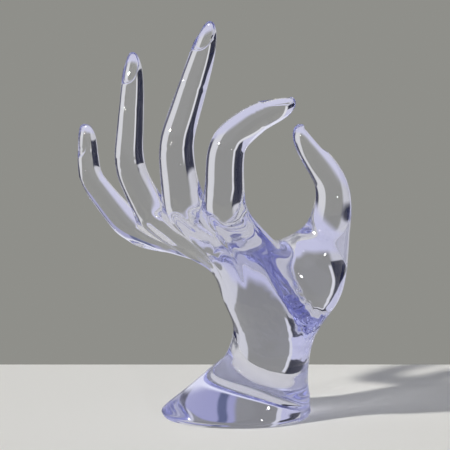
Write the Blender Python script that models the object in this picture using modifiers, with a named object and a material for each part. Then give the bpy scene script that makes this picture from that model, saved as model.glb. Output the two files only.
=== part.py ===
"""A hand jewelry stand: one solid casting in clear lavender resin.

The casting is a left hand that rises from a flared oval foot. The index
finger and the thumb nearly touch, and the other fingers stand up to hold
rings and bracelets. Metres, +Z up. The origin is the centre of the flat
underside of the foot. +X is the palm side and -Y the side of the thumb.

The whole hand is one coarse cage of four-sided faces, smoothed by a
Subdivision Surface modifier. The cage is built from rings: ovals up the
foot, wrist and palm, then a ring for each finger and for the thumb.
"""
import math
from collections import namedtuple

import bmesh
import bpy
import numpy as np

STAND = "hand_jewelry_stand"
CASTING = "cast_hand"

# Colour of the resin, where it is thick
RESIN_COLOUR = (0.66, 0.63, 0.88, 1.0)
RESIN_ROUGHNESS = 0.05
RESIN_IOR = 1.5

# The foot, a flat oval with a rounded rim
FOOT_LENGTH = 0.0625
FOOT_WIDTH = 0.0450
RIM_HEIGHT = 0.0028
RIM_ROUNDING = 0.0009

# Sections up the foot, wrist and palm. Each one stands on the one below it:
# step is the way from that centre to this one, lean is how far the section
# tips towards -X, turn is how far its breadth swings from +X towards -Y
# (degrees), and breadth and depth are its full sizes.
Section = namedtuple("Section", "step lean turn breadth depth")
FOOT_SLOPE = Section((0.0050, 0.0, 0.0056), -5, 6, 0.0514, 0.0385)
FOOT_TOP = Section((0.0070, 0.0, 0.0078), -19, 14, 0.0408, 0.0326)
ANKLE = Section((0.0005, 0.0, 0.0028), -17, 20, 0.0362, 0.0300)
NECK = Section((0.0020, 0.0, 0.0113), -4, 45, 0.0338, 0.0306)
WRIST = Section((0.0026, -0.0015, 0.0095), 4, 62, 0.0445, 0.0325)
PALM_HEEL = Section((-0.0111, -0.0005, 0.0155), 26, 79, 0.0410, 0.0272)
PALM = Section((-0.0040, -0.0005, 0.0125), 34, 64, 0.0420, 0.0200)
BODY_SECTIONS = (FOOT_SLOPE, FOOT_TOP, ANKLE, NECK, WRIST, PALM_HEEL, PALM)

# A limb is a chain of bones. Each bone has a length, a lean from upright
# towards +X and a swing towards +Y (degrees). root is the way from the
# centre of the palm section to the start, and girths are the full widths at
# the root, at the two joints and just before the tip. back gives the way
# the back of the finger, or the nail of the thumb, faces at root and tip.
Bone = namedtuple("Bone", "length lean swing")
Limb = namedtuple("Limb", "root bones girths back_at_root back_at_tip")
LITTLE = Limb(
    (-0.0456, 0.0190, 0.0078),
    (Bone(0.0282, -41, 8), Bone(0.0108, -1, 22), Bone(0.0128, -9, 15)),
    (0.0128, 0.0101, 0.0088, 0.0074),
    (-0.62, -0.62, -0.30), (-0.75, -0.60, 0.10),
)
RING = Limb(
    (-0.0372, 0.0090, 0.0172),
    (Bone(0.0212, -29, 9), Bone(0.0262, 5, 21), Bone(0.0228, 0, 17)),
    (0.0134, 0.0126, 0.0104, 0.0080),
    (-0.62, -0.66, -0.30), (-0.45, -0.85, 0.20),
)
MIDDLE = Limb(
    (-0.0232, -0.0020, 0.0195),
    (Bone(0.0270, -10, 8), Bone(0.0262, 20, 20), Bone(0.0284, 15, 16)),
    (0.0164, 0.0142, 0.0120, 0.0092),
    (-0.70, -0.60, -0.20), (-0.50, -0.80, 0.25),
)
INDEX = Limb(
    (-0.0064, -0.0140, 0.0215),
    (Bone(0.0275, -2, 8), Bone(0.0185, 56, 20), Bone(0.0168, 68, 17)),
    (0.0164, 0.0150, 0.0120, 0.0088),
    (-0.85, -0.45, -0.10), (-0.40, -0.30, 0.85),
)
FINGERS = (LITTLE, RING, MIDDLE, INDEX)
THUMB = Limb(
    (0.0240, -0.0010, -0.0240),
    (Bone(0.0426, 18.5, -5), Bone(0.0155, 0, 8), Bone(0.0222, -36, 9), Bone(0.0054, -8, 5)),
    (0.0340, 0.0173, 0.0132, 0.0090, 0.0056),
    (1.0, -0.10, 0.0), (0.85, 0.0, 0.50),
)

# Girth along a finger, as a share of the width worked out between its
# joints: place along the bones, side to side, back and pad. slope is how
# far the section tips from square to the bone, its back down (degrees).
Station = namedtuple("Station", "at side back pad slope", defaults=(0,))
FINGER_ROOT = Station(0.0, 1.0, 1.0, 1.0)
FINGER_PROFILE = (
    Station(0.30, 1.00, 1.00, 1.00),
    Station(0.60, 0.98, 0.97, 1.02),
    Station(0.84, 1.00, 1.00, 1.00),
    Station(1.04, 1.01, 1.02, 0.98),
    Station(1.26, 0.99, 0.99, 1.00),
    Station(1.56, 0.98, 0.96, 1.03),
    Station(1.86, 1.00, 1.00, 0.98),
    Station(2.08, 1.00, 0.99, 0.97),
    Station(2.36, 1.00, 0.95, 1.05),
    Station(2.64, 0.94, 0.86, 1.05),
    Station(2.84, 0.74, 0.68, 0.84),
    Station(2.96, 0.42, 0.38, 0.48),
)
THUMB_PROFILE = (
    Station(0.60, 1.00, 1.18, 1.20, 20),
    Station(0.80, 0.96, 1.06, 1.02, 11),
    Station(0.98, 0.96, 1.00, 0.98, 4),
    Station(1.25, 0.97, 0.98, 0.98),
    Station(1.60, 1.00, 1.00, 0.96),
    Station(1.90, 1.01, 1.02, 0.96),
    Station(2.15, 1.02, 1.02, 0.98),
    Station(2.42, 1.04, 0.98, 1.06),
    Station(2.70, 1.04, 0.94, 1.10),
    Station(2.92, 1.02, 0.92, 1.10),
    Station(3.30, 0.98, 0.88, 1.04),
    Station(3.72, 0.80, 0.74, 0.86),
    Station(3.94, 0.46, 0.42, 0.50),
)
# Share of a bone that the bend at a joint takes up
JOINT_ROUNDING = 0.46
# Share of a bone over which the direction of a limb is measured
DIRECTION_STEP = 0.02
# The ring between the thumb's opening and its first section: its place between
# the two, and how much wider it is than they are there, along X, Y and Z
THUMB_LOFT_SHARE = 0.5
THUMB_SWELL = (1.28, 1.28, 1.0)
# How far a fingertip stands out past its last bone, as a share of the bone,
# and how wide the thumb's tip is, as a share of its last section
TIP_RISE = 0.02
TIP_SPREAD = 0.25
# How far the skin between two fingers stands out from their roots
WEB_RISE = -0.0045
# How far the skin between the index finger and the thumb reaches out
THUMB_WEB_REACH = 0.0050
# How far the knuckles stand out, and the hollows between them sink in
KNUCKLE_RISE = 0.0012
HOLLOW_DEPTH = 0.0022
# Mounds that stand out round the base of the thumb: the way from the centre
# of the palm section to the middle of the mound, its radius and its rise
Mound = namedtuple("Mound", "middle radius rise")
THUMB_BACK = Mound((0.0240, -0.0155, -0.0115), 0.0165, (0.0, -0.0035, 0.0))
THUMB_BALL = Mound((0.0200, 0.0095, -0.0105), 0.0175, (0.0, 0.0070, 0.0))
MOUNDS = (THUMB_BACK, THUMB_BALL)
# Places of the two rings between the palm section and the finger roots
LOFT_SHARES = (1 / 3, 2 / 3)

# The ring of a section has a corner on the little-finger side, then nine on
# the back of the hand, one on the thumb side and nine on the palm side
BACK_CORNERS = 9
RING_CORNERS = 2 * BACK_CORNERS + 2
THUMB_SIDE = BACK_CORNERS + 1
# The rim of the foot takes three rings, below those of the sections
RIM_RINGS = 3
# The thumb grows out of the side of the hand, between these three rings,
# where it takes the place of four columns of faces
THUMB_RINGS = tuple(RIM_RINGS + BODY_SECTIONS.index(section) for section in (WRIST, PALM_HEEL, PALM))
THUMB_COLUMNS = tuple(range(THUMB_SIDE, THUMB_SIDE + 5))
# A limb's corners go round from its back, the first one at this angle
FINGER_CORNERS = 8
FINGER_START = 135
THUMB_CORNERS = 2 * len(THUMB_COLUMNS) + 2
THUMB_START = 150
SMOOTHING = 1
# Corners lower than this belong to the flat underside
GROUND = 1e-6


def unit(vector):
    """A vector of the same direction and length 1."""
    return vector / np.linalg.norm(vector)


def cage_scale(corners):
    """How much wider a ring's cage is than the round it is smoothed to."""
    return 6 / (4 + 2 * math.cos(2 * math.pi / corners))


def heading(lean, swing):
    """The direction that leans towards +X and swings towards +Y."""
    lean, swing = math.radians(lean), math.radians(swing)
    return np.array([math.sin(lean) * math.cos(swing), math.sin(swing), math.cos(lean) * math.cos(swing)])


def oval(centre, lean, turn, breadth, depth):
    """Corners of an oval section, from the little-finger side over the back."""
    lean, turn = math.radians(lean), math.radians(turn)
    across = np.array([math.cos(lean), 0.0, math.sin(lean)])
    towards = np.array([0.0, -1.0, 0.0])
    long_axis = across * math.cos(turn) + towards * math.sin(turn)
    short_axis = towards * math.cos(turn) - across * math.sin(turn)
    palm_turn = math.radians(PALM.turn)
    around = math.pi - np.arange(RING_CORNERS) * 2 * math.pi / RING_CORNERS + palm_turn - turn
    scale = cage_scale(RING_CORNERS) / 2
    reach = np.outer(np.cos(around), long_axis) * breadth + np.outer(np.sin(around), short_axis) * depth
    return centre + reach * scale


def joints_of(limb, palm_centre):
    """The start of a limb, its two joints and its tip."""
    points = [palm_centre + np.array(limb.root)]
    for bone in limb.bones:
        points.append(points[-1] + heading(bone.lean, bone.swing) * bone.length)
    return np.array(points)


def on_limb(joints, at):
    """A point on the centre line, at bones from the start, rounded at joints."""
    last = len(joints) - 1
    joint = int(round(at))
    if 0 < joint < last and abs(at - joint) < JOINT_ROUNDING:
        share = (at - joint + JOINT_ROUNDING) / (2 * JOINT_ROUNDING)
        before = joints[joint] + (joints[joint - 1] - joints[joint]) * JOINT_ROUNDING
        after = joints[joint] + (joints[joint + 1] - joints[joint]) * JOINT_ROUNDING
        return before * (1 - share) ** 2 + joints[joint] * 2 * share * (1 - share) + after * share ** 2
    bone = min(max(int(math.floor(at)), 0), last - 1)
    return joints[bone] + (joints[bone + 1] - joints[bone]) * (at - bone)


def frame_at(limb, joints, at):
    """Centre, side axis and back axis of a limb's section."""
    centre = on_limb(joints, at)
    along = unit(on_limb(joints, at + DIRECTION_STEP) - on_limb(joints, at - DIRECTION_STEP))
    share = min(max(at / len(limb.bones), 0.0), 1.0)
    back = np.array(limb.back_at_root) * (1 - share) + np.array(limb.back_at_tip) * share
    back = unit(back - along * (back @ along))
    return centre, np.cross(along, back), back


def limb_ring(limb, joints, station, angles):
    """Corners of one section of a finger or of the thumb."""
    centre, side, back = frame_at(limb, joints, station.at)
    slope = math.radians(station.slope)
    back = back * math.cos(slope) + np.cross(side, back) * math.sin(slope)
    width = np.interp(station.at, range(len(limb.girths)), limb.girths) * cage_scale(len(angles)) / 2
    depth = np.where(np.sin(angles) > 0, station.back, station.pad)
    return centre + width * (
        np.outer(np.cos(angles) * station.side, side) + np.outer(np.sin(angles) * depth, back)
    )


class Cage:
    """Corners and four-sided faces, gathered ring by ring."""

    def __init__(self):
        self.corners = []
        self.faces = []

    def add(self, points):
        """Add corners and return their numbers."""
        first = len(self.corners)
        self.corners.extend(np.atleast_2d(points))
        return list(range(first, len(self.corners)))

    def join(self, ring, next_ring, closed=True):
        """Put a band of faces between two rings."""
        count = len(ring) if closed else len(ring) - 1
        for i in range(count):
            j = (i + 1) % len(ring)
            self.faces.append((ring[i], ring[j], next_ring[j], next_ring[i]))


def ring_angles(corners, first):
    """Angles of a limb's corners round its centre, from the first one on."""
    return np.radians(first) - np.arange(corners) * 2 * math.pi / corners


def build_body(cage):
    """The oval rings of the foot, wrist and palm, and the centre of the palm."""
    under = dict(breadth=FOOT_LENGTH - 2 * RIM_ROUNDING, depth=FOOT_WIDTH - 2 * RIM_ROUNDING)
    full = dict(breadth=FOOT_LENGTH, depth=FOOT_WIDTH)
    rings = []
    for height, size in ((0.0, under), (RIM_HEIGHT / 2, full), (RIM_HEIGHT, full)):
        rings.append(cage.add(oval(np.array([0.0, 0.0, height]), lean=0, turn=0, **size)))
    centre = np.array([0.0, 0.0, RIM_HEIGHT])
    for section in BODY_SECTIONS:
        centre = centre + np.array(section.step)
        rings.append(cage.add(oval(centre, section.lean, section.turn, section.breadth, section.depth)))
    for column in THUMB_COLUMNS:
        cage.corners[rings[-1][column]] += np.array([THUMB_WEB_REACH, 0.0, 0.0])
    return rings, centre


def finger_roots(palm_centre):
    """The eight corners of each finger's root; neighbours share three of them."""
    roots = []
    for limb in FINGERS:
        angles = ring_angles(FINGER_CORNERS, FINGER_START)
        roots.append(limb_ring(limb, joints_of(limb, palm_centre), FINGER_ROOT, angles))
    for number, (near, far) in enumerate(zip(roots[:-1], roots[1:])):
        bones = FINGERS[number].bones[0], FINGERS[number + 1].bones[0]
        along = unit(sum(heading(bone.lean, bone.swing) for bone in bones))
        for here, there in ((2, 0), (3, 7), (4, 6)):
            near[here] = far[there] = (near[here] + far[there]) / 2 + along * WEB_RISE
    return roots


def build_knuckles(cage, rings, roots):
    """Rings from the palm to one ring round all the finger roots."""
    back = [root[i] for root in roots for i in (0, 1)] + [roots[-1][2]]
    front = [roots[-1][4]] + [root[i] for root in reversed(roots) for i in (5, 6)]
    outline = np.array([roots[0][7]] + back + [roots[-1][3]] + front)
    palm = np.array([cage.corners[i] for i in rings[-1]])
    outwards = unit(sum(np.array(limb.back_at_root) for limb in FINGERS))
    for share in LOFT_SHARES:
        loft = palm * (1 - share) + outline * share
        loft[2:BACK_CORNERS:2] += outwards * KNUCKLE_RISE * share
        loft[3:BACK_CORNERS - 1:2] -= outwards * HOLLOW_DEPTH * share
        rings.append(cage.add(loft))
    rings.append(cage.add(outline))


def build_bands(cage, rings):
    """Faces between the rings of the body, left open where the thumb comes out."""
    for level, (ring, next_ring) in enumerate(zip(rings[:-1], rings[1:])):
        if level in THUMB_RINGS[:-1]:
            around = list(range(THUMB_COLUMNS[-1], RING_CORNERS)) + list(range(THUMB_COLUMNS[0] + 1))
            cage.join([ring[i] for i in around], [next_ring[i] for i in around], closed=False)
        else:
            cage.join(ring, next_ring)
    cage.faces.append(tuple(rings[0]))


def build_finger(cage, limb, root, palm_centre):
    """One finger, from the ring of its root to a rounded tip."""
    joints = joints_of(limb, palm_centre)
    ring = root
    for station in FINGER_PROFILE:
        next_ring = cage.add(limb_ring(limb, joints, station, ring_angles(FINGER_CORNERS, FINGER_START)))
        cage.join(ring, next_ring)
        ring = next_ring
    tip = cage.add(joints[-1] + (joints[-1] - joints[-2]) * TIP_RISE)[0]
    for i in range(1, FINGER_CORNERS, 2):
        cage.faces.append((ring[i], ring[(i + 1) % FINGER_CORNERS], ring[(i + 2) % FINGER_CORNERS], tip))


def build_fingers(cage, root_ring, roots, palm_centre):
    """The four fingers, each on its own share of the ring round the roots."""
    webs = cage.add([root[3] for root in roots[:-1]])
    sides = [root_ring[0]] + webs + [root_ring[THUMB_SIDE]]
    for number, limb in enumerate(FINGERS):
        first = 1 + 2 * number
        last = RING_CORNERS - first
        back, front = root_ring[first:first + 3], root_ring[last - 2:last + 1]
        start = back + [sides[number + 1]] + front + [sides[number]]
        build_finger(cage, limb, start, palm_centre)


def build_thumb(cage, rings, palm_centre):
    """The thumb, from its opening in the side of the hand to a rounded tip."""
    low, middle, high = (rings[level] for level in THUMB_RINGS)
    ring = [low[i] for i in THUMB_COLUMNS] + [middle[THUMB_COLUMNS[-1]]]
    ring += [high[i] for i in reversed(THUMB_COLUMNS)] + [middle[THUMB_COLUMNS[0]]]
    joints = joints_of(THUMB, palm_centre)
    angles = ring_angles(THUMB_CORNERS, THUMB_START)
    opening = np.array([cage.corners[i] for i in ring])
    first = limb_ring(THUMB, joints, THUMB_PROFILE[0], angles)
    loft = opening * (1 - THUMB_LOFT_SHARE) + first * THUMB_LOFT_SHARE
    middle_of_loft = loft.mean(axis=0)
    loft_ring = cage.add(middle_of_loft + (loft - middle_of_loft) * np.array(THUMB_SWELL))
    cage.join(ring, loft_ring)
    ring = loft_ring
    for station in THUMB_PROFILE:
        next_ring = cage.add(limb_ring(THUMB, joints, station, angles))
        cage.join(ring, next_ring)
        ring = next_ring
    # The tip has a row of three corners across, between the nail and the pad
    nail, pad = ring[:5], ring[10:5:-1]
    top = joints[-1] + (joints[-1] - joints[-2]) * TIP_RISE
    tips = []
    for here, there in zip(nail[1:-1], pad[1:-1]):
        halfway = (cage.corners[here] + cage.corners[there]) / 2
        tips += cage.add(top * (1 - TIP_SPREAD) + halfway * TIP_SPREAD)
    across = [ring[11]] + tips + [ring[5]]
    cage.join(nail, across, closed=False)
    cage.join(across, pad, closed=False)


def raise_mounds(corners, palm_centre):
    """Push the corners near each mound out, less and less away from its middle."""
    raised = np.array(corners)
    for mound in MOUNDS:
        away = np.linalg.norm(np.array(corners) - palm_centre - np.array(mound.middle), axis=1)
        raised += np.outer(np.exp(-(away / mound.radius) ** 2), mound.rise)
    return raised


def build_casting():
    """Build the cage of the whole hand."""
    cage = Cage()
    rings, palm_centre = build_body(cage)
    roots = finger_roots(palm_centre)
    build_knuckles(cage, rings, roots)
    build_bands(cage, rings)
    build_fingers(cage, rings[-1], roots, palm_centre)
    build_thumb(cage, rings, palm_centre)
    used = sorted({corner for face in cage.faces for corner in face})
    renumber = {old: new for new, old in enumerate(used)}
    faces = [tuple(renumber[corner] for corner in face) for face in cage.faces]
    return raise_mounds([cage.corners[corner] for corner in used], palm_centre), faces


def resin():
    """Clear resin with a lavender tint."""
    material = bpy.data.materials.new("lavender_resin")
    material.use_nodes = True
    shader = material.node_tree.nodes["Principled BSDF"]
    shader.inputs["Base Color"].default_value = RESIN_COLOUR
    shader.inputs["Roughness"].default_value = RESIN_ROUGHNESS
    shader.inputs["IOR"].default_value = RESIN_IOR
    shader.inputs["Metallic"].default_value = 0.0
    return material


def main():
    for old in list(bpy.data.objects):
        bpy.data.objects.remove(old)
    collection = bpy.data.collections.new(STAND)
    bpy.context.scene.collection.children.link(collection)

    corners, faces = build_casting()
    mesh = bpy.data.meshes.new(CASTING)
    mesh.from_pydata([tuple(p) for p in corners], [], faces)
    work = bmesh.new()
    work.from_mesh(mesh)
    bmesh.ops.recalc_face_normals(work, faces=work.faces)
    crease = work.edges.layers.float.new("crease_edge")
    for edge in work.edges:
        if all(corner.co.z < GROUND for corner in edge.verts):
            edge[crease] = 1.0
    work.to_mesh(mesh)
    work.free()
    mesh.shade_smooth()
    casting = bpy.data.objects.new(CASTING, mesh)
    casting.data.materials.append(resin())
    collection.objects.link(casting)
    smoothing = casting.modifiers.new("smooth", "SUBSURF")
    smoothing.levels = SMOOTHING
    smoothing.render_levels = SMOOTHING


main()
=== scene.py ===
"""Looks of a hand jewelry stand cast in clear lavender resin.

The hand is worked out again from the sizes of the solid part, with a finer
smoothing and with what the solid leaves out: the nails, the tendons on the
back of the hand, the creases of the palm and of the finger joints. It is
one clear body that tints the light where it is thick.
"""

import math
from collections import namedtuple

import bmesh
import bpy
import numpy as np
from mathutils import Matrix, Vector


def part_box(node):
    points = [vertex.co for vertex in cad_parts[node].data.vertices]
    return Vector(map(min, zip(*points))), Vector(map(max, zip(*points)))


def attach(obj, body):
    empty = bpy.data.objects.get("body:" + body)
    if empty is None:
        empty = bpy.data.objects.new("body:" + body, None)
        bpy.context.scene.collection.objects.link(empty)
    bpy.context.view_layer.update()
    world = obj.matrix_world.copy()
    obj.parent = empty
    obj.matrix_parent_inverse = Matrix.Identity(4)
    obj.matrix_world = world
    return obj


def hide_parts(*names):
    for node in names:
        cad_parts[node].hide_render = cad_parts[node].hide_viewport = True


NODE = "cast_hand"

# Camera, at the photograph's viewpoint: place, downward pitch and lens
CAMERA_PLACE = (-0.0046, -0.80, 0.222)
CAMERA_PITCH = 10.04
LENS_MM = 158.1
SENSOR_MM = 36.0
# Light stays caught in the hand for many turns, so its path may be long
LIGHT_TURNS = 28

# The table top that the stand rests on: its far and near edge, half its width,
# how its edges are rounded, and the gap that keeps it clear of the casting
TABLE_FAR = 0.088
TABLE_FRONT = -1.4
TABLE_SIDE = 1.0
TABLE_THICK = 0.03
TABLE_EDGE_ROUNDING = 0.002
TABLE_EDGE_STEPS = 3
TABLE_GAP = 0.0002
TABLE_COLOUR = (0.83, 0.838, 0.805, 1.0)
TABLE_ROUGHNESS = 0.8
TABLE_GLOSS = 0.0

# Clear resin: how rough it is where it is polished and where the foot is
# ground flat, which is up to this height
RESIN_IOR = 1.5
POLISHED = 0.0
GROUND_FLAT = 0.03
UNDERSIDE = 0.0003
# Its tint: light that goes d metres through it keeps e to the power of
# -d * ABSORPTION_DENSITY * (1 - THICK_COLOUR)
THICK_COLOUR = (0.66, 0.675, 0.89, 1.0)
ABSORPTION_DENSITY = 17.0

# Studio light that the clear hand bends into bands, all angles in degrees. A
# band runs from azimuth start to stop, counted from +Y towards +X, and fades
# over soft at both of these edges, which move by lean for each degree upwards.
# It comes down to the elevation lowest and lies over the bands before it. Where
# no band lies there is WALL_GREY, and the camera itself sees only that.
WALL_GREY = (0.275, 0.275, 0.255, 1.0)
Band = namedtuple("Band", "name start stop soft lean lowest colour")
STUDIO = (
    Band("front_left", -185, -100, 10, 0.0, -90, (0.52, 0.52, 0.57, 1.0)),
    Band("front_right", 110, 185, 10, 0.0, -90, (0.47, 0.47, 0.52, 1.0)),
    Band("left_window", -101, -62, 4, 0.0, -90, (0.70, 0.70, 0.82, 1.0)),
    Band("left_table", -63, -22, 8, 0.0, -90, (0.60, 0.60, 0.64, 1.0)),
    Band("left_curtain", -66, -22, 2, -0.2, -15, (0.014, 0.016, 0.034, 1.0)),
    Band("over_curtain", -68, -22, 2, 0.0, 3.5, (0.60, 0.60, 0.76, 1.0)),
    Band("curtain_edge", -21, -17, 1, -0.2, -12, (0.76, 0.76, 0.78, 1.0)),
    Band("sunlit_wall", 29, 54, 3, 0.6, -90, (0.68, 0.68, 0.69, 1.0)),
    Band("upper_window", 4, 60, 3, 0.0, 11, (0.36, 0.36, 0.56, 1.0)),
    Band("window_frame", 8, 13, 2, 0.0, 11, (0.09, 0.11, 0.22, 1.0)),
    Band("right_shade", 42, 64, 4, 0.0, -2, (0.03, 0.03, 0.05, 1.0)),
    Band("right_doorway", 52, 100, 4, 0.3, -90, (0.035, 0.035, 0.07, 1.0)),
)
LOWEST_SOFT = 2
# Over all the bands: the ceiling, from these degrees above the horizon on, and
# what lies below, from these degrees under it
CEILING = (0.88, 0.89, 0.99, 1.0)
CEILING_FROM = 24
CEILING_FULL = 34
BELOW = (0.60, 0.60, 0.76, 1.0)
BELOW_FROM = 19
BELOW_FULL = 27
# The table takes this share of the light of the surroundings, and the lamps
# give it the rest
TABLE_SHARE = 0.29

# Lamps as far away as the sun. Each one shines from the side of place towards
# the origin; spread is the angle that it fills in the sky (degrees) and
# strength is in watts on a square metre that faces it
Lamp = namedtuple("Lamp", "name place spread strength colour")
LAMPS = (
    Lamp("key", (-0.80, -0.34, 0.57), 3.3, 2.8, (1.0, 0.965, 0.91)),
    Lamp("strip", (-0.75, -0.86, 0.50), 1.8, 0.24, (1.0, 0.98, 0.95)),
    Lamp("window", (0.62, -1.16, 0.36), 2.5, 0.20, (1.0, 1.0, 1.0)),
)

# The foot, a flat oval with a rounded rim
FOOT_LENGTH = 0.0625
FOOT_WIDTH = 0.0450
RIM_HEIGHT = 0.0028
RIM_ROUNDING = 0.0009

# Sections up the foot, wrist and palm. Each one stands on the one below it:
# step is the way from that centre to this one, lean is how far the section
# tips towards -X, turn is how far its breadth swings from +X towards -Y
# (degrees), and breadth and depth are its full sizes.
Section = namedtuple("Section", "step lean turn breadth depth")
FOOT_SLOPE = Section((0.0050, 0.0, 0.0056), -5, 6, 0.0514, 0.0385)
FOOT_TOP = Section((0.0070, 0.0, 0.0078), -19, 14, 0.0408, 0.0326)
ANKLE = Section((0.0005, 0.0, 0.0028), -17, 20, 0.0362, 0.0300)
NECK = Section((0.0020, 0.0, 0.0113), -4, 45, 0.0338, 0.0306)
WRIST = Section((0.0026, -0.0015, 0.0095), 4, 62, 0.0445, 0.0325)
PALM_HEEL = Section((-0.0111, -0.0005, 0.0155), 26, 79, 0.0410, 0.0272)
PALM = Section((-0.0040, -0.0005, 0.0125), 34, 64, 0.0420, 0.0200)
BODY_SECTIONS = (FOOT_SLOPE, FOOT_TOP, ANKLE, NECK, WRIST, PALM_HEEL, PALM)

# A limb is a chain of bones. Each bone has a length, a lean from upright
# towards +X and a swing towards +Y (degrees). root is the way from the
# centre of the palm section to the start, and girths are the full widths at
# the root, at the two joints and just before the tip. back gives the way
# the back of the finger, or the nail of the thumb, faces at root and tip.
Bone = namedtuple("Bone", "length lean swing")
Limb = namedtuple("Limb", "root bones girths back_at_root back_at_tip")
LITTLE = Limb(
    (-0.0456, 0.0190, 0.0078),
    (Bone(0.0282, -41, 8), Bone(0.0108, -1, 22), Bone(0.0128, -9, 15)),
    (0.0128, 0.0101, 0.0088, 0.0074),
    (-0.62, -0.62, -0.30), (-0.75, -0.60, 0.10),
)
RING = Limb(
    (-0.0372, 0.0090, 0.0172),
    (Bone(0.0212, -29, 9), Bone(0.0262, 5, 21), Bone(0.0228, 0, 17)),
    (0.0134, 0.0126, 0.0104, 0.0080),
    (-0.62, -0.66, -0.30), (-0.45, -0.85, 0.20),
)
MIDDLE = Limb(
    (-0.0232, -0.0020, 0.0195),
    (Bone(0.0270, -10, 8), Bone(0.0262, 20, 20), Bone(0.0284, 15, 16)),
    (0.0164, 0.0142, 0.0120, 0.0092),
    (-0.70, -0.60, -0.20), (-0.50, -0.80, 0.25),
)
INDEX = Limb(
    (-0.0064, -0.0140, 0.0215),
    (Bone(0.0275, -2, 8), Bone(0.0185, 56, 20), Bone(0.0168, 68, 17)),
    (0.0164, 0.0150, 0.0120, 0.0088),
    (-0.85, -0.45, -0.10), (-0.40, -0.30, 0.85),
)
FINGERS = (LITTLE, RING, MIDDLE, INDEX)
THUMB = Limb(
    (0.0240, -0.0010, -0.0240),
    (Bone(0.0426, 18.5, -5), Bone(0.0155, 0, 8), Bone(0.0222, -36, 9), Bone(0.0054, -8, 5)),
    (0.0340, 0.0173, 0.0132, 0.0090, 0.0056),
    (1.0, -0.10, 0.0), (0.85, 0.0, 0.50),
)

# Girth along a finger, as a share of the width worked out between its
# joints: place along the bones, side to side, back and pad. slope is how
# far the section tips from square to the bone, its back down (degrees).
Station = namedtuple("Station", "at side back pad slope", defaults=(0,))
FINGER_ROOT = Station(0.0, 1.0, 1.0, 1.0)
FINGER_PROFILE = (
    Station(0.30, 1.00, 1.00, 1.00),
    Station(0.60, 0.98, 0.97, 1.02),
    Station(0.84, 1.00, 1.00, 1.00),
    Station(1.04, 1.01, 1.02, 0.98),
    Station(1.26, 0.99, 0.99, 1.00),
    Station(1.56, 0.98, 0.96, 1.03),
    Station(1.86, 1.00, 1.00, 0.98),
    Station(2.08, 1.00, 0.99, 0.97),
    Station(2.36, 1.00, 0.95, 1.05),
    Station(2.64, 0.94, 0.86, 1.05),
    Station(2.84, 0.74, 0.68, 0.84),
    Station(2.96, 0.42, 0.38, 0.48),
)
THUMB_PROFILE = (
    Station(0.60, 1.00, 1.18, 1.20, 20),
    Station(0.80, 0.96, 1.06, 1.02, 11),
    Station(0.98, 0.96, 1.00, 0.98, 4),
    Station(1.25, 0.97, 0.98, 0.98),
    Station(1.60, 1.00, 1.00, 0.96),
    Station(1.90, 1.01, 1.02, 0.96),
    Station(2.15, 1.02, 1.02, 0.98),
    Station(2.42, 1.04, 0.98, 1.06),
    Station(2.70, 1.04, 0.94, 1.10),
    Station(2.92, 1.02, 0.92, 1.10),
    Station(3.30, 0.98, 0.88, 1.04),
    Station(3.72, 0.80, 0.74, 0.86),
    Station(3.94, 0.46, 0.42, 0.50),
)
# Share of a bone that the bend at a joint takes up
JOINT_ROUNDING = 0.46
# Share of a bone over which the direction of a limb is measured
DIRECTION_STEP = 0.02
# The ring between the thumb's opening and its first section: its place between
# the two, and how much wider it is than they are there, along X, Y and Z
THUMB_LOFT_SHARE = 0.5
THUMB_SWELL = (1.28, 1.28, 1.0)
# How far a fingertip stands out past its last bone, as a share of the bone,
# and how wide the thumb's tip is, as a share of its last section
TIP_RISE = 0.02
TIP_SPREAD = 0.25
# How far the skin between two fingers stands out from their roots; below 0, it
# lies deeper than they do
WEB_RISE = -0.0045
# How far the skin between the index finger and the thumb reaches out
THUMB_WEB_REACH = 0.0050
# How far the knuckles stand out, and the hollows between them sink in
KNUCKLE_RISE = 0.0012
HOLLOW_DEPTH = 0.0022
# Mounds that stand out round the base of the thumb: the way from the centre
# of the palm section to the middle of the mound, its radius and its rise
Mound = namedtuple("Mound", "middle radius rise")
THUMB_BACK = Mound((0.0240, -0.0155, -0.0115), 0.0165, (0.0, -0.0035, 0.0))
THUMB_BALL = Mound((0.0200, 0.0095, -0.0105), 0.0175, (0.0, 0.0070, 0.0))
MOUNDS = (THUMB_BACK, THUMB_BALL)
# Places of the two rings between the palm section and the finger roots
LOFT_SHARES = (1 / 3, 2 / 3)

# The ring of a section has a corner on the little-finger side, then nine on
# the back of the hand, one on the thumb side and nine on the palm side
BACK_CORNERS = 9
RING_CORNERS = 2 * BACK_CORNERS + 2
THUMB_SIDE = BACK_CORNERS + 1
# The rim of the foot takes three rings, below those of the sections
RIM_RINGS = 3
# The thumb grows out of the side of the hand, between these three rings,
# where it takes the place of four columns of faces
THUMB_RINGS = tuple(
    RIM_RINGS + BODY_SECTIONS.index(section) for section in (WRIST, PALM_HEEL, PALM)
)
THUMB_COLUMNS = tuple(range(THUMB_SIDE, THUMB_SIDE + 5))
# A limb's corners go round from its back, the first one at this angle
FINGER_CORNERS = 8
FINGER_START = 135
THUMB_CORNERS = 2 * len(THUMB_COLUMNS) + 2
THUMB_START = 150
# The cage is smoothed this many times. Corners below GROUND are the underside's.
SMOOTHING = 3
GROUND = 1e-6
# Stands for anything far outside a nail's outline
FAR = 4.0

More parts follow.
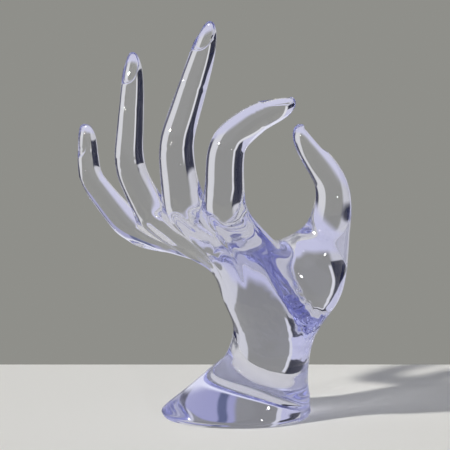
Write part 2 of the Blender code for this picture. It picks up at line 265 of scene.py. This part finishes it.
# Nails: how far the free edge is from the tip, length, and half width as a
# share of the finger's. The plate is sunk below the skin round it and pressed
# flatter in its middle. Its outline is between an oval and a box, the more so
# the higher NAIL_ROUNDNESS is, and NAIL_EDGE is how softly it is drawn.
Nail = namedtuple("Nail", "gap length half_width")
FINGER_NAIL = Nail(0.0013, 0.0125, 0.76)
THUMB_NAIL = Nail(0.0015, 0.0140, 0.74)
NAIL_SINK = 0.00075
NAIL_FLAT = 0.00030
NAIL_ROUNDNESS = 2.6
NAIL_EDGE = 0.10
# The fine groove along a nail's outline, drawn by the material
NAIL_LINE = 1.04
NAIL_LINE_WIDTH = 0.09
NAIL_LINE_DEPTH = 0.00045
# The faint waves of the polish: how many fit in a metre, how many finer ones
# lie over them, and their height
WAVE_SCALE = 90.0
WAVE_DETAIL = 1.0
WAVE_HEIGHT = 0.00004
# Stronger ripples, as casting leaves them: the middle of each field, the
# distances from it between which they fade, how many fit in a metre, and
# their height
Ripple = namedtuple("Ripple", "middle inner outer scale height")
RIPPLES = (
    Ripple((0.0200, -0.0120, 0.0440), 0.008, 0.026, 330.0, 0.00050),
    Ripple((-0.0110, -0.0100, 0.0790), 0.012, 0.026, 170.0, 0.00050),
)

# A finger's two joints, as places along its bones
FINGER_JOINTS = (1.0, 2.0)
# Tendons on the back of the hand, pads under the finger roots, and creases
# of the palm and the joints
TENDON_RISE = 0.0010
TENDON_HALF_WIDTH = 0.0022
PAD_RISE = 0.0010
PAD_RADIUS = 0.0050
PAD_BELOW_ROOT = 0.0070
JOINT_CREASE_DEPTH = 0.00010
JOINT_CREASE_HALF_WIDTH = 0.00075
JOINT_CREASE_SPACING = 0.0017
# How much wider and how deep the crease on the pad of a joint is, against those
# on its back
JOINT_PAD_WIDER = 1.4
JOINT_PAD_DEPTH_SHARE = 0.7
PALM_CREASE_DEPTH = 0.00055
PALM_CREASE_HALF_WIDTH = 0.0010
# Arcs on the palm: centre towards the thumb and towards the fingers, radius,
# and the angles between which the crease runs
Arc = namedtuple("Arc", "x y radius start stop")
PALM_CREASES = (
    Arc(0.022, -0.014, 0.019, 95, 215),
    Arc(0.002, 0.030, 0.027, 225, 310),
    Arc(-0.006, -0.016, 0.026, 45, 120),
)
# Degrees over which each end of a palm crease fades out
PALM_CREASE_END = 14

# Limits between which the reliefs fade in or out. For nails and joints these
# are heights over the limb's centre line, and the distance from it, as shares
# of its radius.
NAIL_HEIGHTS = (-0.35, 0.15)
JOINT_HEIGHTS = (0.2, 0.8)
JOINT_REACH = (1.3, 1.7)
# For a tendon they are places along it, as shares of its length
TENDON_START = (0.25, 0.55)
TENDON_END = (0.88, 1.02)
# And these say how squarely the skin faces the way of the relief (cosines)
TENDON_FACING = (0.0, 0.5)
PAD_FACING = (0.2, 0.7)
PALM_FACING = (0.25, 0.6)
# The rim of the foot stays plain: the reliefs come in between these heights
RELIEF_HEIGHTS = (0.0, 2 * RIM_HEIGHT)


def unit(vector):
    """A vector of the same direction and length 1."""
    return vector / np.linalg.norm(vector)


def cage_scale(corners):
    """How much wider a ring's cage is than the round it is smoothed to."""
    return 6 / (4 + 2 * math.cos(2 * math.pi / corners))


def heading(lean, swing):
    """The direction that leans towards +X and swings towards +Y."""
    lean, swing = math.radians(lean), math.radians(swing)
    across, up = math.sin(lean) * math.cos(swing), math.cos(lean) * math.cos(swing)
    return np.array([across, math.sin(swing), up])


def oval(centre, lean, turn, breadth, depth):
    """Corners of an oval section, from the little-finger side over the back."""
    lean, turn = math.radians(lean), math.radians(turn)
    across = np.array([math.cos(lean), 0.0, math.sin(lean)])
    towards = np.array([0.0, -1.0, 0.0])
    long_axis = across * math.cos(turn) + towards * math.sin(turn)
    short_axis = towards * math.cos(turn) - across * math.sin(turn)
    palm_turn = math.radians(PALM.turn)
    around = math.pi - np.arange(RING_CORNERS) * 2 * math.pi / RING_CORNERS + palm_turn - turn
    scale = cage_scale(RING_CORNERS) / 2
    reach = np.outer(np.cos(around), long_axis) * breadth
    reach = reach + np.outer(np.sin(around), short_axis) * depth
    return centre + reach * scale


def joints_of(limb, palm_centre):
    """The start of a limb, its two joints and its tip."""
    points = [palm_centre + np.array(limb.root)]
    for bone in limb.bones:
        points.append(points[-1] + heading(bone.lean, bone.swing) * bone.length)
    return np.array(points)


def on_limb(joints, at):
    """A point on the centre line, at bones from the start, rounded at joints."""
    last = len(joints) - 1
    joint = int(round(at))
    if 0 < joint < last and abs(at - joint) < JOINT_ROUNDING:
        share = (at - joint + JOINT_ROUNDING) / (2 * JOINT_ROUNDING)
        before = joints[joint] + (joints[joint - 1] - joints[joint]) * JOINT_ROUNDING
        after = joints[joint] + (joints[joint + 1] - joints[joint]) * JOINT_ROUNDING
        middle = joints[joint] * 2 * share * (1 - share)
        return before * (1 - share) ** 2 + middle + after * share ** 2
    bone = min(max(int(math.floor(at)), 0), last - 1)
    return joints[bone] + (joints[bone + 1] - joints[bone]) * (at - bone)


def frame_at(limb, joints, at):
    """Centre, side axis and back axis of a limb's section."""
    centre = on_limb(joints, at)
    along = unit(on_limb(joints, at + DIRECTION_STEP) - on_limb(joints, at - DIRECTION_STEP))
    share = min(max(at / len(limb.bones), 0.0), 1.0)
    back = np.array(limb.back_at_root) * (1 - share) + np.array(limb.back_at_tip) * share
    back = unit(back - along * (back @ along))
    return centre, np.cross(along, back), back


def limb_ring(limb, joints, station, angles):
    """Corners of one section of a finger or of the thumb."""
    centre, side, back = frame_at(limb, joints, station.at)
    slope = math.radians(station.slope)
    back = back * math.cos(slope) + np.cross(side, back) * math.sin(slope)
    width = np.interp(station.at, range(len(limb.girths)), limb.girths)
    width = width * cage_scale(len(angles)) / 2
    depth = np.where(np.sin(angles) > 0, station.back, station.pad)
    return centre + width * (
        np.outer(np.cos(angles) * station.side, side) + np.outer(np.sin(angles) * depth, back)
    )


class Cage:
    """Corners and four-sided faces, gathered ring by ring."""

    def __init__(self):
        self.corners = []
        self.faces = []

    def add(self, points):
        """Add corners and return their numbers."""
        first = len(self.corners)
        self.corners.extend(np.atleast_2d(points))
        return list(range(first, len(self.corners)))

    def join(self, ring, next_ring, closed=True):
        """Put a band of faces between two rings."""
        count = len(ring) if closed else len(ring) - 1
        for i in range(count):
            j = (i + 1) % len(ring)
            self.faces.append((ring[i], ring[j], next_ring[j], next_ring[i]))


def ring_angles(corners, first):
    """Angles of a limb's corners round its centre, from the first one on."""
    return np.radians(first) - np.arange(corners) * 2 * math.pi / corners


def build_body(cage):
    """The oval rings of the foot, wrist and palm, and the centre of the palm."""
    under = dict(breadth=FOOT_LENGTH - 2 * RIM_ROUNDING, depth=FOOT_WIDTH - 2 * RIM_ROUNDING)
    full = dict(breadth=FOOT_LENGTH, depth=FOOT_WIDTH)
    rings = []
    for height, size in ((0.0, under), (RIM_HEIGHT / 2, full), (RIM_HEIGHT, full)):
        rings.append(cage.add(oval(np.array([0.0, 0.0, height]), lean=0, turn=0, **size)))
    centre = np.array([0.0, 0.0, RIM_HEIGHT])
    for section in BODY_SECTIONS:
        centre = centre + np.array(section.step)
        ring = oval(centre, section.lean, section.turn, section.breadth, section.depth)
        rings.append(cage.add(ring))
    for column in THUMB_COLUMNS:
        cage.corners[rings[-1][column]] += np.array([THUMB_WEB_REACH, 0.0, 0.0])
    return rings, centre


def finger_roots(palm_centre):
    """The eight corners of each finger's root; neighbours share three of them."""
    roots = []
    for limb in FINGERS:
        angles = ring_angles(FINGER_CORNERS, FINGER_START)
        roots.append(limb_ring(limb, joints_of(limb, palm_centre), FINGER_ROOT, angles))
    for number, (near, far) in enumerate(zip(roots[:-1], roots[1:])):
        bones = FINGERS[number].bones[0], FINGERS[number + 1].bones[0]
        along = unit(sum(heading(bone.lean, bone.swing) for bone in bones))
        # The corners on the far side of one root are those on the near side
        # of the next one
        for here, there in ((2, 0), (3, 7), (4, 6)):
            near[here] = far[there] = (near[here] + far[there]) / 2 + along * WEB_RISE
    return roots


def build_knuckles(cage, rings, roots):
    """Rings from the palm to one ring round all the finger roots."""
    back = [root[i] for root in roots for i in (0, 1)] + [roots[-1][2]]
    front = [roots[-1][4]] + [root[i] for root in reversed(roots) for i in (5, 6)]
    outline = np.array([roots[0][7]] + back + [roots[-1][3]] + front)
    palm = np.array([cage.corners[i] for i in rings[-1]])
    outwards = unit(sum(np.array(limb.back_at_root) for limb in FINGERS))
    for share in LOFT_SHARES:
        loft = palm * (1 - share) + outline * share
        # On the back, every other corner is a knuckle and those between are
        # the hollows
        loft[2:BACK_CORNERS:2] += outwards * KNUCKLE_RISE * share
        loft[3:BACK_CORNERS - 1:2] -= outwards * HOLLOW_DEPTH * share
        rings.append(cage.add(loft))
    rings.append(cage.add(outline))


def build_bands(cage, rings):
    """Faces between the rings of the body, left open where the thumb comes out."""
    for level, (ring, next_ring) in enumerate(zip(rings[:-1], rings[1:])):
        if level in THUMB_RINGS[:-1]:
            around = [*range(THUMB_COLUMNS[-1], RING_CORNERS), *range(THUMB_COLUMNS[0] + 1)]
            cage.join([ring[i] for i in around], [next_ring[i] for i in around], closed=False)
        else:
            cage.join(ring, next_ring)
    cage.faces.append(tuple(rings[0]))


def build_finger(cage, limb, root, palm_centre):
    """One finger, from the ring of its root to a rounded tip."""
    joints = joints_of(limb, palm_centre)
    angles = ring_angles(FINGER_CORNERS, FINGER_START)
    ring = root
    for station in FINGER_PROFILE:
        next_ring = cage.add(limb_ring(limb, joints, station, angles))
        cage.join(ring, next_ring)
        ring = next_ring
    tip = cage.add(joints[-1] + (joints[-1] - joints[-2]) * TIP_RISE)[0]
    for i in range(1, FINGER_CORNERS, 2):
        around = [ring[(i + step) % FINGER_CORNERS] for step in range(3)]
        cage.faces.append((*around, tip))


def build_fingers(cage, root_ring, roots, palm_centre):
    """The four fingers, each on its own share of the ring round the roots."""
    webs = cage.add([root[3] for root in roots[:-1]])
    sides = [root_ring[0]] + webs + [root_ring[THUMB_SIDE]]
    for number, limb in enumerate(FINGERS):
        first = 1 + 2 * number
        last = RING_CORNERS - first
        back, front = root_ring[first:first + 3], root_ring[last - 2:last + 1]
        start = back + [sides[number + 1]] + front + [sides[number]]
        build_finger(cage, limb, start, palm_centre)


def build_thumb(cage, rings, palm_centre):
    """The thumb, from its opening in the side of the hand to a rounded tip."""
    low, middle, high = (rings[level] for level in THUMB_RINGS)
    ring = [low[i] for i in THUMB_COLUMNS] + [middle[THUMB_COLUMNS[-1]]]
    ring += [high[i] for i in reversed(THUMB_COLUMNS)] + [middle[THUMB_COLUMNS[0]]]
    joints = joints_of(THUMB, palm_centre)
    angles = ring_angles(THUMB_CORNERS, THUMB_START)
    opening = np.array([cage.corners[i] for i in ring])
    first = limb_ring(THUMB, joints, THUMB_PROFILE[0], angles)
    loft = opening * (1 - THUMB_LOFT_SHARE) + first * THUMB_LOFT_SHARE
    middle_of_loft = loft.mean(axis=0)
    loft_ring = cage.add(middle_of_loft + (loft - middle_of_loft) * np.array(THUMB_SWELL))
    cage.join(ring, loft_ring)
    ring = loft_ring
    for station in THUMB_PROFILE:
        next_ring = cage.add(limb_ring(THUMB, joints, station, angles))
        cage.join(ring, next_ring)
        ring = next_ring
    # The tip has a row of three corners across, between the nail and the pad
    columns = len(THUMB_COLUMNS)
    nail, pad = ring[:columns], ring[2 * columns:columns:-1]
    top = joints[-1] + (joints[-1] - joints[-2]) * TIP_RISE
    tips = []
    for here, there in zip(nail[1:-1], pad[1:-1]):
        halfway = (cage.corners[here] + cage.corners[there]) / 2
        tips += cage.add(top * (1 - TIP_SPREAD) + halfway * TIP_SPREAD)
    across = [ring[2 * columns + 1]] + tips + [ring[columns]]
    cage.join(nail, across, closed=False)
    cage.join(across, pad, closed=False)


def raise_mounds(corners, palm_centre):
    """Push the corners near each mound out, less and less away from its middle."""
    raised = np.array(corners)
    for mound in MOUNDS:
        away = np.linalg.norm(np.array(corners) - palm_centre - np.array(mound.middle), axis=1)
        raised += np.outer(np.exp(-(away / mound.radius) ** 2), mound.rise)
    return raised


def build_casting():
    """Build the cage of the whole hand."""
    cage = Cage()
    rings, palm_centre = build_body(cage)
    roots = finger_roots(palm_centre)
    build_knuckles(cage, rings, roots)
    build_bands(cage, rings)
    build_fingers(cage, rings[-1], roots, palm_centre)
    build_thumb(cage, rings, palm_centre)
    used = sorted({corner for face in cage.faces for corner in face})
    renumber = {old: new for new, old in enumerate(used)}
    faces = [tuple(renumber[corner] for corner in face) for face in cage.faces]
    return raise_mounds([cage.corners[corner] for corner in used], palm_centre), faces


def smooth_step(low, high, value):
    """0 below low and 1 above high, with a cubic S between."""
    share = np.clip((value - low) / (high - low), 0.0, 1.0)
    return share * share * (3 - 2 * share)


def bell(distance, half_width):
    """1 on a line, and beside it e to the minus square of distance over half width."""
    return np.exp(-(distance / half_width) ** 2)


def limb_coordinates(points, limb, joints, at):
    """Places from one spot of a limb: across and height over its radius, along in metres."""
    centre, side, back = frame_at(limb, joints, at)
    radius = np.interp(at, range(len(limb.girths)), limb.girths) / 2
    offset = points - centre
    return offset @ side / radius, offset @ np.cross(back, side), offset @ back / radius


def nail_outline(points, limb, joints, nail):
    """Distance from a nail's middle, 1 on its outline, and the part of it across the nail."""
    lengths = np.linalg.norm(np.diff(joints, axis=0), axis=1)
    from_start = lengths.sum() - nail.gap - nail.length / 2
    middle = np.interp(from_start, np.r_[0, lengths.cumsum()], range(len(joints)))
    across, along, height = limb_coordinates(points, limb, joints, middle)
    across = across / nail.half_width
    along = along / (nail.length / 2)
    total = np.abs(across) ** NAIL_ROUNDNESS + np.abs(along) ** NAIL_ROUNDNESS
    outline = total ** (1 / NAIL_ROUNDNESS)
    return outline + FAR * (1 - smooth_step(*NAIL_HEIGHTS, height)), across


def nail_relief(outline, across):
    """The plate of a nail: sunk, and flatter where it is most crowned, by 1 - across squared."""
    plate = 1 - smooth_step(1 - NAIL_EDGE, 1 + NAIL_EDGE, outline)
    return -plate * (NAIL_SINK + NAIL_FLAT * (1 - np.clip(across, -1, 1) ** 2))


def joint_relief(points, limb, joints, at):
    """Creases at a finger joint: three bell-shaped dents on the back, and one on the pad."""
    across, along, height = limb_coordinates(points, limb, joints, at)
    back = sum(
        bell(along - step * JOINT_CREASE_SPACING, JOINT_CREASE_HALF_WIDTH) for step in (-1, 0, 1)
    )
    pad = bell(along, JOINT_CREASE_HALF_WIDTH * JOINT_PAD_WIDER) * JOINT_PAD_DEPTH_SHARE
    upper, lower = smooth_step(*JOINT_HEIGHTS, height), smooth_step(*JOINT_HEIGHTS, -height)
    inside = 1 - smooth_step(*JOINT_REACH, np.hypot(across, height))
    return -JOINT_CREASE_DEPTH * inside * (back * upper + pad * lower)


def tendon_relief(points, normals, start, end, outwards):
    """A tendon: a ridge of bell section over the line from the wrist to a knuckle."""
    line = end - start
    length = np.linalg.norm(line)
    along = line / length
    sideways = unit(np.cross(along, outwards))
    offset = points - start
    place = offset @ along / length
    fade = smooth_step(*TENDON_START, place) * (1 - smooth_step(*TENDON_END, place))
    facing = smooth_step(*TENDON_FACING, normals @ outwards)
    return TENDON_RISE * bell(offset @ sideways, TENDON_HALF_WIDTH) * fade * facing


def pad_relief(points, normals, root, along, inwards):
    """A pad of the palm under a finger: a round hill of bell section."""
    middle = root.mean(axis=0) - along * PAD_BELOW_ROOT
    offset = points - middle
    offset = offset - np.outer(offset @ inwards, inwards)
    facing = smooth_step(*PAD_FACING, normals @ inwards)
    return PAD_RISE * bell(np.linalg.norm(offset, axis=1), PAD_RADIUS) * facing


def palm_relief(points, normals, centre, across, along, inwards):
    """Palm creases: bell-shaped dents along arcs laid on the palm, faded out at both ends."""
    facing = smooth_step(*PALM_FACING, normals @ inwards)
    x, y = (points - centre) @ across, (points - centre) @ along
    relief = np.zeros(len(points))
    for crease in PALM_CREASES:
        reach = np.hypot(x - crease.x, y - crease.y) - crease.radius
        angle = np.degrees(np.arctan2(y - crease.y, x - crease.x)) % 360
        begun = smooth_step(crease.start, crease.start + PALM_CREASE_END, angle)
        ended = smooth_step(crease.stop - PALM_CREASE_END, crease.stop, angle)
        relief -= bell(reach, PALM_CREASE_HALF_WIDTH) * (begun * (1 - ended))
    return PALM_CREASE_DEPTH * facing * relief


def smoothed(corners, faces):
    """The cage as a mesh, smoothed, with a sharp edge round the underside."""
    mesh = bpy.data.meshes.new("hand_cage")
    mesh.from_pydata([tuple(corner) for corner in corners], [], faces)
    work = bmesh.new()
    work.from_mesh(mesh)
    bmesh.ops.recalc_face_normals(work, faces=work.faces)
    crease = work.edges.layers.float.new("crease_edge")
    for edge in work.edges:
        if all(corner.co.z < GROUND for corner in edge.verts):
            edge[crease] = 1.0
            edge.smooth = False
    work.to_mesh(mesh)
    work.free()
    cage = bpy.data.objects.new("hand_cage", mesh)
    bpy.context.scene.collection.objects.link(cage)
    modifier = cage.modifiers.new("smooth", "SUBSURF")
    modifier.levels = SMOOTHING
    modifier.render_levels = SMOOTHING
    evaluated = cage.evaluated_get(bpy.context.evaluated_depsgraph_get())
    fine = bpy.data.meshes.new_from_object(evaluated)
    bpy.data.objects.remove(cage)
    return fine


def hand_relief(points, normals):
    """How far each point moves along its normal, and its distance from the nearest nail."""
    cage = Cage()
    rings, palm_centre = build_body(cage)
    roots = finger_roots(palm_centre)
    wrist = [cage.corners[i] for i in rings[THUMB_RINGS[0]]]
    relief = np.zeros(len(points))
    nails = np.full(len(points), FAR)
    for limb, nail in [(finger, FINGER_NAIL) for finger in FINGERS] + [(THUMB, THUMB_NAIL)]:
        joints = joints_of(limb, palm_centre)
        outline, across = nail_outline(points, limb, joints, nail)
        relief += nail_relief(outline, across)
        nails = np.minimum(nails, outline)
        if limb is not THUMB:
            for at in FINGER_JOINTS:
                relief += joint_relief(points, limb, joints, at)
    # The hand's own directions: out of its back, along it and across it
    outwards = unit(sum(np.array(limb.back_at_root) for limb in FINGERS))
    along = unit(sum(heading(limb.bones[0].lean, limb.bones[0].swing) for limb in FINGERS))
    across = unit(np.cross(along, outwards))
    along = unit(np.cross(outwards, across))
    for number, root in enumerate(roots):
        # Every other corner on the back of the wrist lies under a knuckle
        start, knuckle = wrist[2 + 2 * number], root[1]
        relief += tendon_relief(points, normals, start, knuckle, outwards)
        relief += pad_relief(points, normals, root, along, -outwards)
    relief += palm_relief(points, normals, palm_centre, across, along, -outwards)
    return relief * smooth_step(*RELIEF_HEIGHTS, points[:, 2]), nails


def cast_hand():
    """The hand: its cage smoothed, then pressed in and raised along its normals."""
    mesh = smoothed(*build_casting())
    count = len(mesh.vertices)
    points, normals = np.empty(count * 3), np.empty(count * 3)
    mesh.vertices.foreach_get("co", points)
    mesh.vertex_normals.foreach_get("vector", normals)
    points, normals = points.reshape(-1, 3), normals.reshape(-1, 3)
    relief, nails = hand_relief(points, normals)
    points = np.clip(points + normals * relief[:, None], *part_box(NODE))
    mesh.vertices.foreach_set("co", points.ravel())
    mesh.attributes.new("nail", "FLOAT", "POINT").data.foreach_set("value", nails)
    mesh.update()
    mesh.shade_smooth()
    mesh.name = "clear_hand"
    mesh.materials.append(lavender_resin())
    hand = bpy.data.objects.new("clear_hand", mesh)
    bpy.context.scene.collection.objects.link(hand)
    return hand


class Socket:
    """A shader output; adding, subtracting or multiplying it adds a Math node."""

    def __init__(self, nodes, output):
        self.nodes = nodes
        self.output = output

    def maths(self, operation, first, second):
        """Add the Math node that works on two values or outputs."""
        return self.nodes.make("ShaderNodeMath", {"operation": operation}, {0: first, 1: second})

    def __add__(self, other):
        return self.maths("ADD", self, other)

    def __radd__(self, other):
        return self.maths("ADD", other, self)

    def __sub__(self, other):
        return self.maths("SUBTRACT", self, other)

    def __rsub__(self, other):
        return self.maths("SUBTRACT", other, self)

    def __mul__(self, other):
        return self.maths("MULTIPLY", self, other)

    def __rmul__(self, other):
        return self.maths("MULTIPLY", other, self)


class Nodes:
    """Adds nodes to one shader."""

    def __init__(self, tree):
        self.tree = tree
        tree.nodes.clear()

    def make(self, kind, settings=None, inputs=None, output=0):
        """Add a node: its settings are set first, then the values or links of its sockets."""
        node = self.tree.nodes.new(kind)
        for name, value in (settings or {}).items():
            setattr(node, name, value)
        for name, value in (inputs or {}).items():
            if isinstance(value, Socket):
                self.tree.links.new(value.output, node.inputs[name])
            else:
                node.inputs[name].default_value = value
        return Socket(self, node.outputs[output]) if len(node.outputs) else None

    def ramp(self, low, high, value):
        """0 below low and 1 above high, with an S between."""
        return self.make(
            "ShaderNodeMapRange",
            {"interpolation_type": "SMOOTHSTEP"},
            {"Value": value, "From Min": low, "From Max": high, "To Min": 0.0, "To Max": 1.0},
        )

    def blend(self, share, first, second):
        """Goes from the first colour to the second with share; 6, 7 and 2 are colour sockets."""
        return self.make(
            "ShaderNodeMix", {"data_type": "RGBA"}, {"Factor": share, 6: first, 7: second}, output=2
        )


def lavender_resin():
    """Clear resin, polished and faintly uneven, that turns lavender where it is thick."""
    material = bpy.data.materials.new("lavender_resin")
    material.use_nodes = True
    nodes = Nodes(material.node_tree)
    place = nodes.make("ShaderNodeTexCoord", output="Object")
    waves = nodes.make(
        "ShaderNodeTexNoise", inputs={"Vector": place, "Scale": WAVE_SCALE, "Detail": WAVE_DETAIL}
    )
    height = waves * WAVE_HEIGHT
    for field in RIPPLES:
        ripples = nodes.make(
            "ShaderNodeTexNoise", inputs={"Vector": place, "Scale": field.scale, "Detail": 0.0}
        )
        away = nodes.make(
            "ShaderNodeVectorMath",
            {"operation": "DISTANCE"},
            {0: place, 1: field.middle},
            output="Value",
        )
        faded = 1 - nodes.ramp(field.inner, field.outer, away)
        height = height + ripples * faded * field.height
    nail = nodes.make("ShaderNodeAttribute", {"attribute_name": "nail"}, output="Fac")
    fold = nodes.ramp(NAIL_LINE - NAIL_LINE_WIDTH, NAIL_LINE, nail) * (
        1 - nodes.ramp(NAIL_LINE, NAIL_LINE + NAIL_LINE_WIDTH, nail)
    )
    uneven = nodes.make(
        "ShaderNodeBump",
        inputs={"Height": height - fold * NAIL_LINE_DEPTH, "Strength": 1.0, "Distance": 1.0},
    )
    upwards = nodes.make("ShaderNodeSeparateXYZ", inputs={"Vector": place}, output="Z")
    ground = 1 - nodes.ramp(0.0, UNDERSIDE, upwards)
    surface = nodes.make(
        "ShaderNodeBsdfPrincipled",
        inputs={
            "Base Color": (1.0, 1.0, 1.0, 1.0),
            "Roughness": POLISHED + (GROUND_FLAT - POLISHED) * ground,
            "IOR": RESIN_IOR,
            "Transmission Weight": 1.0,
            "Normal": uneven,
        },
    )
    tint = nodes.make(
        "ShaderNodeVolumeAbsorption",
        inputs={"Color": THICK_COLOUR, "Density": ABSORPTION_DENSITY},
    )
    nodes.make("ShaderNodeOutputMaterial", inputs={"Surface": surface, "Volume": tint})
    return material


def table_top():
    """A pale table with its far edge behind the stand."""
    mesh = bpy.data.meshes.new("table_top")
    work = bmesh.new()
    bmesh.ops.create_cube(work, size=1.0)
    size = (2 * TABLE_SIDE, TABLE_FAR - TABLE_FRONT, TABLE_THICK)
    bmesh.ops.scale(work, vec=size, verts=work.verts)
    middle = (0.0, (TABLE_FAR + TABLE_FRONT) / 2, -TABLE_THICK / 2 - TABLE_GAP)
    bmesh.ops.translate(work, vec=middle, verts=work.verts)
    bmesh.ops.bevel(
        work,
        geom=work.edges,
        offset=TABLE_EDGE_ROUNDING,
        segments=TABLE_EDGE_STEPS,
        affect="EDGES",
    )
    work.to_mesh(mesh)
    work.free()
    table = bpy.data.objects.new("table_top", mesh)
    bpy.context.scene.collection.objects.link(table)
    material = bpy.data.materials.new("pale_table")
    material.use_nodes = True
    nodes = Nodes(material.node_tree)
    surface = nodes.make(
        "ShaderNodeBsdfPrincipled",
        inputs={
            "Base Color": TABLE_COLOUR,
            "Roughness": TABLE_ROUGHNESS,
            "Specular IOR Level": TABLE_GLOSS,
        },
    )
    nodes.make("ShaderNodeOutputMaterial", inputs={"Surface": surface})
    mesh.materials.append(material)


def studio_light():
    """Grey surroundings with bright and dark fields, and the lamps."""
    world = bpy.data.worlds.new("studio")
    bpy.context.scene.world = world
    world.use_nodes = True
    nodes = Nodes(world.node_tree)
    direction = nodes.make("ShaderNodeTexCoord", output="Generated")
    split = nodes.make("ShaderNodeSeparateXYZ", inputs={"Vector": direction})
    axes = [Socket(nodes, output) for output in split.output.node.outputs]
    azimuth = nodes.make("ShaderNodeMath", {"operation": "ARCTAN2"}, {0: axes[0], 1: axes[1]})
    azimuth = azimuth * math.degrees(1)
    upwards = nodes.make("ShaderNodeMath", {"operation": "ARCSINE"}, {0: axes[2]})
    upwards = upwards * math.degrees(1)
    colour = WALL_GREY
    for band in STUDIO:
        across = azimuth - upwards * band.lean
        rise = nodes.ramp(band.start - band.soft / 2, band.start + band.soft / 2, across)
        fall = nodes.ramp(band.stop - band.soft / 2, band.stop + band.soft / 2, across)
        above = nodes.ramp(band.lowest, band.lowest + LOWEST_SOFT, upwards)
        colour = nodes.blend(rise * (1 - fall) * above, colour, band.colour)
    colour = nodes.blend(nodes.ramp(CEILING_FROM, CEILING_FULL, upwards), colour, CEILING)
    colour = nodes.blend(nodes.ramp(BELOW_FROM, BELOW_FULL, 0 - upwards), colour, BELOW)
    # The camera itself sees a plain wall, and the table takes only its share
    seen = nodes.make("ShaderNodeLightPath", output="Is Camera Ray")
    colour = nodes.blend(seen, colour, WALL_GREY)
    matt = nodes.make("ShaderNodeLightPath", output="Is Diffuse Ray")
    background = nodes.make(
        "ShaderNodeBackground",
        inputs={"Color": colour, "Strength": 1 - matt * (1 - TABLE_SHARE)},
    )
    nodes.make("ShaderNodeOutputWorld", inputs={"Surface": background})
    for lamp in LAMPS:
        data = bpy.data.lights.new(lamp.name, "SUN")
        data.angle = math.radians(lamp.spread)
        data.energy = lamp.strength
        data.color = lamp.colour
        light = bpy.data.objects.new(lamp.name, data)
        light.location = lamp.place
        light.rotation_euler = Vector(lamp.place).to_track_quat("Z", "Y").to_euler()
        bpy.context.scene.collection.objects.link(light)


def camera():
    """The camera at the photograph's viewpoint."""
    data = bpy.data.cameras.new("camera")
    data.lens = LENS_MM
    data.sensor_width = SENSOR_MM
    eye = bpy.data.objects.new("camera", data)
    eye.location = CAMERA_PLACE
    eye.rotation_euler = (math.radians(90 - CAMERA_PITCH), 0.0, 0.0)
    bpy.context.scene.collection.objects.link(eye)
    bpy.context.scene.camera = eye


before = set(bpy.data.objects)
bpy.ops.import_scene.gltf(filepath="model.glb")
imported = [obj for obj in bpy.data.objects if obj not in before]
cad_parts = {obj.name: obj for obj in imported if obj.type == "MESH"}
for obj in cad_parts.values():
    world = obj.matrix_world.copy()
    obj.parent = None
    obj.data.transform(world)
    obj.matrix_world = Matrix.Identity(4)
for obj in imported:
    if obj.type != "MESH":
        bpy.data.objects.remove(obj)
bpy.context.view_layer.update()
camera()
table_top()
studio_light()
bpy.context.scene.view_settings.view_transform = "Standard"
for limit in ("max_bounces", "glossy_bounces", "transmission_bounces"):
    setattr(bpy.context.scene.cycles, limit, LIGHT_TURNS)
hand = cast_hand()
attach(hand, "root")
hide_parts(NODE)
